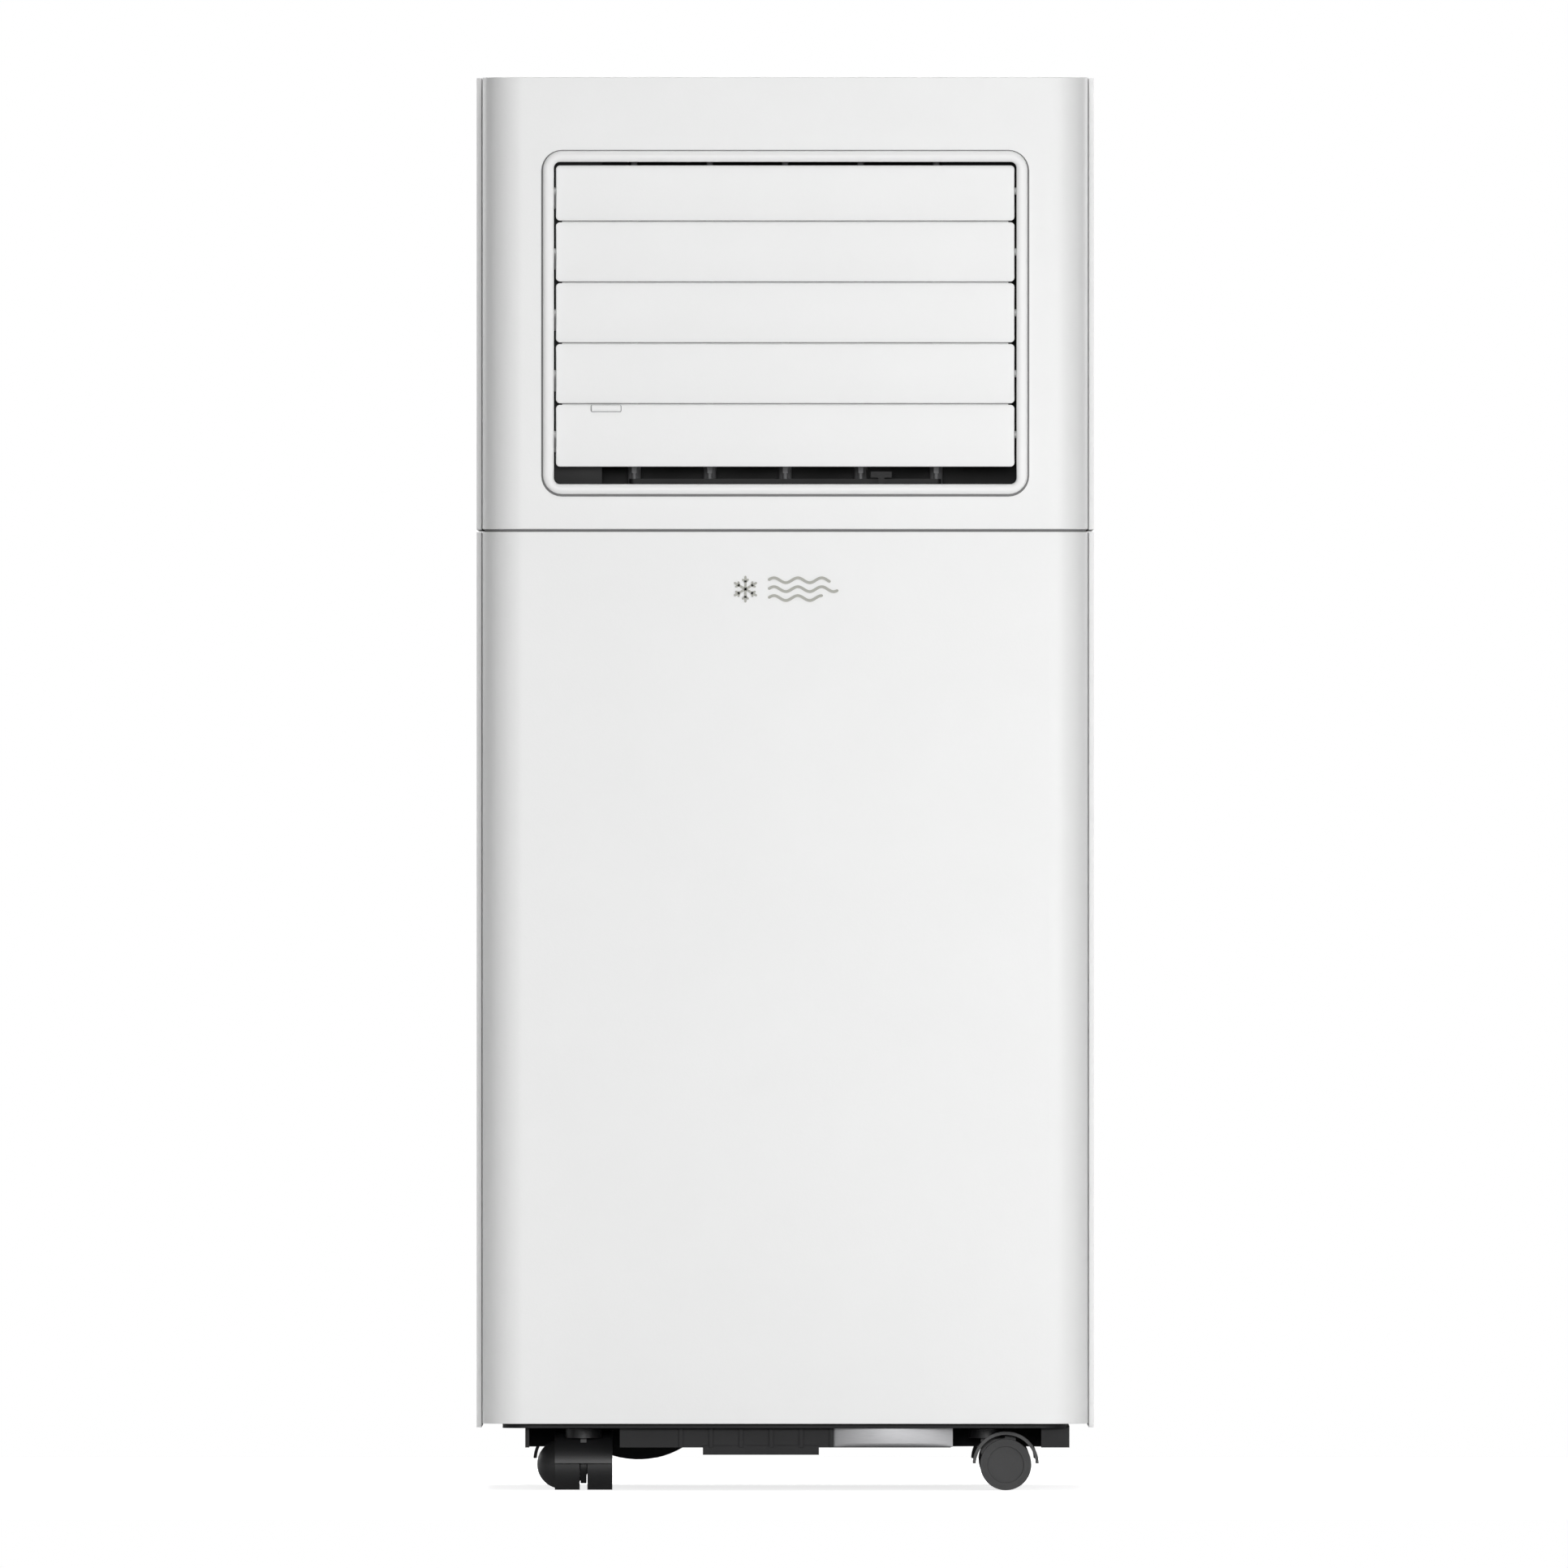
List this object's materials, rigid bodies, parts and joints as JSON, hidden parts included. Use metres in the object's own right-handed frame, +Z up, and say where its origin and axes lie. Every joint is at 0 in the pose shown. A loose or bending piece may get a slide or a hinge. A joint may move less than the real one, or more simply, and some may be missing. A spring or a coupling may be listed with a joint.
{
  "type": "portable air conditioner",
  "caption": "Upright room air conditioner on casters, with a front louvre, top control panel, rear filter grilles and a round exhaust collar.",
  "frame": {"origin": "on the floor, under the centre of the bounding box", "axes": "+Z up, -Y to the louvred front, +X to the right seen from the front"},
  "size_m": [0.306, 0.33, 0.7],
  "materials": {
    "white_casing": "satin",
    "button_plastic": "satin",
    "grille_plastic": "satin",
    "filter_mesh": "matte",
    "tray_plastic": "satin",
    "dark_plastic": "satin",
    "vane_plastic": "satin",
    "fascia_gloss": "gloss",
    "display_window": "gloss",
    "circuit_board": "satin",
    "coil_fins": "satin",
    "copper_pipe": "satin",
    "compressor_paint": "satin",
    "motor_steel": "satin",
    "screw_steel": "satin",
    "box_steel": "satin",
    "wheel_plastic": "satin",
    "caster_plastic": "satin",
    "blower_plastic": "satin"
  },
  "bodies": {
    "cabinet": {"base_tray": "tray_plastic", "front_lower_panel": "white_casing", "front_upper_panel": "white_casing", "rear_lower_shell": "white_casing", "rear_upper_shell": "white_casing", "top_cover": "white_casing", "case_screws": "screw_steel", "louver_bezel": "white_casing", "outlet_duct": "dark_plastic", "control_fascia": "fascia_gloss", "display_lens": "display_window", "control_board": "circuit_board", "exhaust_collar": "grille_plastic", "cord_gland": "dark_plastic", "partition_tray": "tray_plastic", "evaporator": "coil_fins", "condenser": "coil_fins", "upper_scroll": "blower_plastic", "upper_fan_motor": "motor_steel", "lower_scroll": "blower_plastic", "lower_fan_motor": "motor_steel", "compressor": "compressor_paint", "refrigerant_pipes": "copper_pipe", "electrical_box": "box_steel", "splash_motor": "motor_steel"},
    "slat_1": {"louver_slat_1": "white_casing"},
    "slat_2": {"louver_slat_2": "white_casing"},
    "slat_3": {"louver_slat_3": "white_casing"},
    "slat_4": {"louver_slat_4": "white_casing"},
    "slat_5": {"louver_slat_5": "white_casing"},
    "slat_link": {"slat_link_bar": "vane_plastic"},
    "vane_1": {"vane_1": "vane_plastic"},
    "vane_2": {"vane_2": "vane_plastic"},
    "vane_3": {"vane_3": "vane_plastic"},
    "vane_4": {"vane_4": "vane_plastic"},
    "vane_5": {"vane_5": "vane_plastic"},
    "vane_link": {"vane_link_bar": "vane_plastic"},
    "button_power": {"button_power": "button_plastic"},
    "button_mode": {"button_mode": "button_plastic"},
    "button_fan": {"button_fan": "button_plastic"},
    "button_down": {"button_down": "button_plastic"},
    "button_up": {"button_up": "button_plastic"},
    "button_timer": {"button_timer": "button_plastic"},
    "upper_intake": {"upper_intake_grille": "grille_plastic", "upper_filter": "filter_mesh"},
    "lower_intake": {"lower_intake_grille": "grille_plastic", "lower_filter": "filter_mesh"},
    "upper_plug": {"upper_drain_plug": "dark_plastic"},
    "lower_plug": {"lower_drain_plug": "dark_plastic"},
    "upper_wheel": {"upper_blower_wheel": "blower_plastic"},
    "lower_wheel": {"lower_blower_wheel": "blower_plastic"},
    "splash": {"splash_wheel": "blower_plastic"},
    "swivel_front_left": {"caster_front_left": "caster_plastic"},
    "wheels_front_left": {"caster_wheels_front_left": "wheel_plastic"},
    "swivel_front_right": {"caster_front_right": "caster_plastic"},
    "wheels_front_right": {"caster_wheels_front_right": "wheel_plastic"},
    "swivel_rear_left": {"caster_rear_left": "caster_plastic"},
    "wheels_rear_left": {"caster_wheels_rear_left": "wheel_plastic"},
    "swivel_rear_right": {"caster_rear_right": "caster_plastic"},
    "wheels_rear_right": {"caster_wheels_rear_right": "wheel_plastic"}
  },
  "joints": [
    {"name": "slat_1_swing", "type": "hinge", "parent": "cabinet", "child": "slat_1", "pos_m": [0, -0.1575, 0.6436], "axis": [1, 0, 0], "range_deg": [0, 75]},
    {"name": "slat_2_swing", "type": "hinge", "parent": "cabinet", "child": "slat_2", "pos_m": [0, -0.1575, 0.61346], "axis": [1, 0, 0], "range_deg": [0, 75]},
    {"name": "slat_3_swing", "type": "hinge", "parent": "cabinet", "child": "slat_3", "pos_m": [0, -0.1575, 0.58332], "axis": [1, 0, 0], "range_deg": [0, 75]},
    {"name": "slat_4_swing", "type": "hinge", "parent": "cabinet", "child": "slat_4", "pos_m": [0, -0.1575, 0.55318], "axis": [1, 0, 0], "range_deg": [0, 75]},
    {"name": "slat_5_swing", "type": "hinge", "parent": "cabinet", "child": "slat_5", "pos_m": [0, -0.1575, 0.52304], "axis": [1, 0, 0], "range_deg": [0, 75]},
    {"name": "slat_link_pivot", "type": "hinge", "parent": "slat_1", "child": "slat_link", "pos_m": [-0.118, -0.14984, 0.63717], "axis": [1, 0, 0], "range_deg": [-75, 0]},
    {"name": "vane_1_swing", "type": "hinge", "parent": "cabinet", "child": "vane_1", "pos_m": [-0.0748, -0.12, 0.58], "axis": [0, 0, 1], "range_deg": [-35, 35]},
    {"name": "vane_2_swing", "type": "hinge", "parent": "cabinet", "child": "vane_2", "pos_m": [-0.0374, -0.12, 0.58], "axis": [0, 0, 1], "range_deg": [-35, 35]},
    {"name": "vane_3_swing", "type": "hinge", "parent": "cabinet", "child": "vane_3", "pos_m": [0, -0.12, 0.58], "axis": [0, 0, 1], "range_deg": [-35, 35]},
    {"name": "vane_4_swing", "type": "hinge", "parent": "cabinet", "child": "vane_4", "pos_m": [0.0374, -0.12, 0.58], "axis": [0, 0, 1], "range_deg": [-35, 35]},
    {"name": "vane_5_swing", "type": "hinge", "parent": "cabinet", "child": "vane_5", "pos_m": [0.0748, -0.12, 0.58], "axis": [0, 0, 1], "range_deg": [-35, 35]},
    {"name": "vane_link_pivot", "type": "hinge", "parent": "vane_1", "child": "vane_link", "pos_m": [-0.0748, -0.135, 0.5], "axis": [0, 0, 1], "range_deg": [-35, 35]},
    {"name": "power_press", "type": "slide", "parent": "cabinet", "child": "button_power", "axis": [0, 0, -1], "range_m": [0, 0.0012], "stiffness_N_per_m": 600, "springref_m": -0.0006},
    {"name": "mode_press", "type": "slide", "parent": "cabinet", "child": "button_mode", "axis": [0, 0, -1], "range_m": [0, 0.0012], "stiffness_N_per_m": 600, "springref_m": -0.0006},
    {"name": "fan_press", "type": "slide", "parent": "cabinet", "child": "button_fan", "axis": [0, 0, -1], "range_m": [0, 0.0012], "stiffness_N_per_m": 600, "springref_m": -0.0006},
    {"name": "down_press", "type": "slide", "parent": "cabinet", "child": "button_down", "axis": [0, 0, -1], "range_m": [0, 0.0012], "stiffness_N_per_m": 600, "springref_m": -0.0006},
    {"name": "up_press", "type": "slide", "parent": "cabinet", "child": "button_up", "axis": [0, 0, -1], "range_m": [0, 0.0012], "stiffness_N_per_m": 600, "springref_m": -0.0006},
    {"name": "timer_press", "type": "slide", "parent": "cabinet", "child": "button_timer", "axis": [0, 0, -1], "range_m": [0, 0.0012], "stiffness_N_per_m": 600, "springref_m": -0.0006},
    {"name": "upper_grille_pull", "type": "slide", "parent": "cabinet", "child": "upper_intake", "axis": [0, 1, 0], "range_m": [0, 0.04]},
    {"name": "lower_grille_pull", "type": "slide", "parent": "cabinet", "child": "lower_intake", "axis": [0, 1, 0], "range_m": [0, 0.04]},
    {"name": "upper_plug_pull", "type": "slide", "parent": "cabinet", "child": "upper_plug", "axis": [0, 1, 0], "range_m": [0, 0.025]},
    {"name": "lower_plug_pull", "type": "slide", "parent": "cabinet", "child": "lower_plug", "axis": [0, 1, 0], "range_m": [0, 0.025]},
    {"name": "upper_wheel_spin", "type": "hinge", "parent": "cabinet", "child": "upper_wheel", "pos_m": [0, 0, 0.5635], "axis": [1, 0, 0], "continuous": true},
    {"name": "lower_wheel_spin", "type": "hinge", "parent": "cabinet", "child": "lower_wheel", "pos_m": [0, -0.008, 0.323], "axis": [1, 0, 0], "continuous": true},
    {"name": "splash_spin", "type": "hinge", "parent": "cabinet", "child": "splash", "pos_m": [-0.073, 0.054, 0.0563], "axis": [0, 1, 0], "continuous": true},
    {"name": "front_left_swivel", "type": "hinge", "parent": "cabinet", "child": "swivel_front_left", "pos_m": [-0.1, -0.1205, 0.03], "axis": [0, 0, 1], "continuous": true},
    {"name": "front_left_roll", "type": "hinge", "parent": "swivel_front_left", "child": "wheels_front_left", "pos_m": [-0.1, -0.1112, 0.0127], "axis": [-1, 0, 0], "continuous": true},
    {"name": "front_right_swivel", "type": "hinge", "parent": "cabinet", "child": "swivel_front_right", "pos_m": [0.1, -0.1205, 0.03], "axis": [0, 0, 1], "continuous": true},
    {"name": "front_right_roll", "type": "hinge", "parent": "swivel_front_right", "child": "wheels_front_right", "pos_m": [0.1093, -0.1205, 0.0127], "axis": [0, 1, 0], "continuous": true},
    {"name": "rear_left_swivel", "type": "hinge", "parent": "cabinet", "child": "swivel_rear_left", "pos_m": [-0.1, 0.11, 0.03], "axis": [0, 0, 1], "continuous": true},
    {"name": "rear_left_roll", "type": "hinge", "parent": "swivel_rear_left", "child": "wheels_rear_left", "pos_m": [-0.1093, 0.11, 0.0127], "axis": [0, -1, 0], "continuous": true},
    {"name": "rear_right_swivel", "type": "hinge", "parent": "cabinet", "child": "swivel_rear_right", "pos_m": [0.1, 0.11, 0.03], "axis": [0, 0, 1], "continuous": true},
    {"name": "rear_right_roll", "type": "hinge", "parent": "swivel_rear_right", "child": "wheels_rear_right", "pos_m": [0.1093, 0.11, 0.0127], "axis": [0, 1, 0], "continuous": true}
  ],
  "couplings": [
    {"joint": "slat_2_swing", "follows": "slat_1_swing", "ratio": 1},
    {"joint": "slat_3_swing", "follows": "slat_1_swing", "ratio": 1},
    {"joint": "slat_4_swing", "follows": "slat_1_swing", "ratio": 1},
    {"joint": "slat_5_swing", "follows": "slat_1_swing", "ratio": 1},
    {"joint": "slat_link_pivot", "follows": "slat_1_swing", "ratio": -1},
    {"joint": "vane_2_swing", "follows": "vane_1_swing", "ratio": 1},
    {"joint": "vane_3_swing", "follows": "vane_1_swing", "ratio": 1},
    {"joint": "vane_4_swing", "follows": "vane_1_swing", "ratio": 1},
    {"joint": "vane_5_swing", "follows": "vane_1_swing", "ratio": 1},
    {"joint": "vane_link_pivot", "follows": "vane_1_swing", "ratio": -1}
  ]
}
